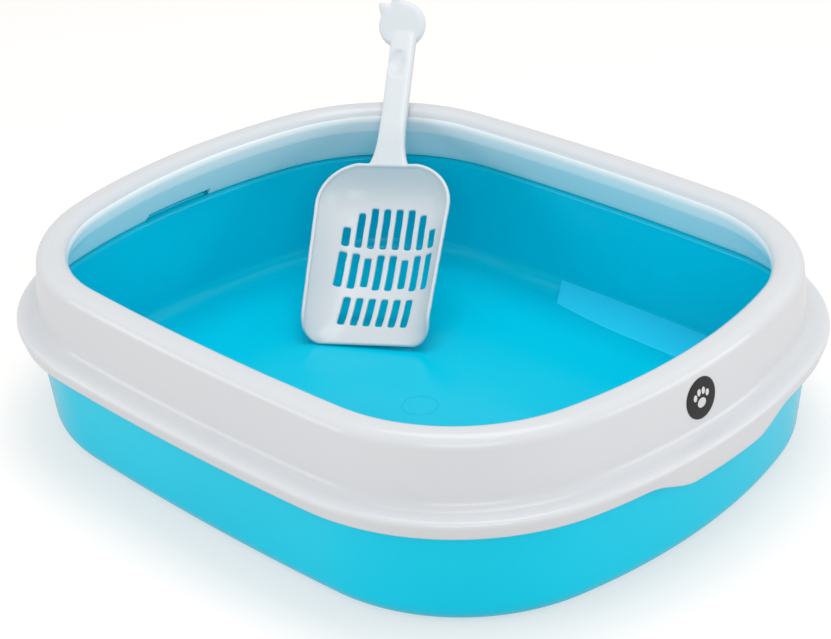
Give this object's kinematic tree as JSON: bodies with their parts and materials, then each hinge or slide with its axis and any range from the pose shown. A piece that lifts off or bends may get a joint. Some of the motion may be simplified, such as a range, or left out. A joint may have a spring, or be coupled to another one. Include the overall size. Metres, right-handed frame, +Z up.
{
  "type": "cat litter tray",
  "caption": "Open oval-cornered litter tray with a lift-off raised rim and a slotted scoop whose handle ends in a cat's head.",
  "frame": {"origin": "middle of the tray's flat base, on the floor it stands on", "axes": "+X along the tray's length, +Y across it towards the side the scoop leans over, +Z up"},
  "size_m": [0.5002, 0.4142, 0.1924],
  "materials": {
    "tray_plastic": "glossy, slightly translucent sky blue",
    "rim_plastic": "glossy white",
    "label_film": "satin charcoal film",
    "scoop_plastic": "glossy white"
  },
  "bodies": {
    "tray": {"tray": "tray_plastic"},
    "rim": {"rim": "rim_plastic", "round_label": "label_film"},
    "scoop": {"scoop": "scoop_plastic"}
  },
  "joints": [
    {"name": "rim_lift", "type": "slide", "parent": "tray", "child": "rim", "axis": [0, 0, 1], "range_m": [0, 0.15]},
    {"name": "scoop_lift", "type": "slide", "parent": "rim", "child": "scoop", "axis": [0.375, -0.538, 0.755], "range_m": [0, 0.2]}
  ]
}
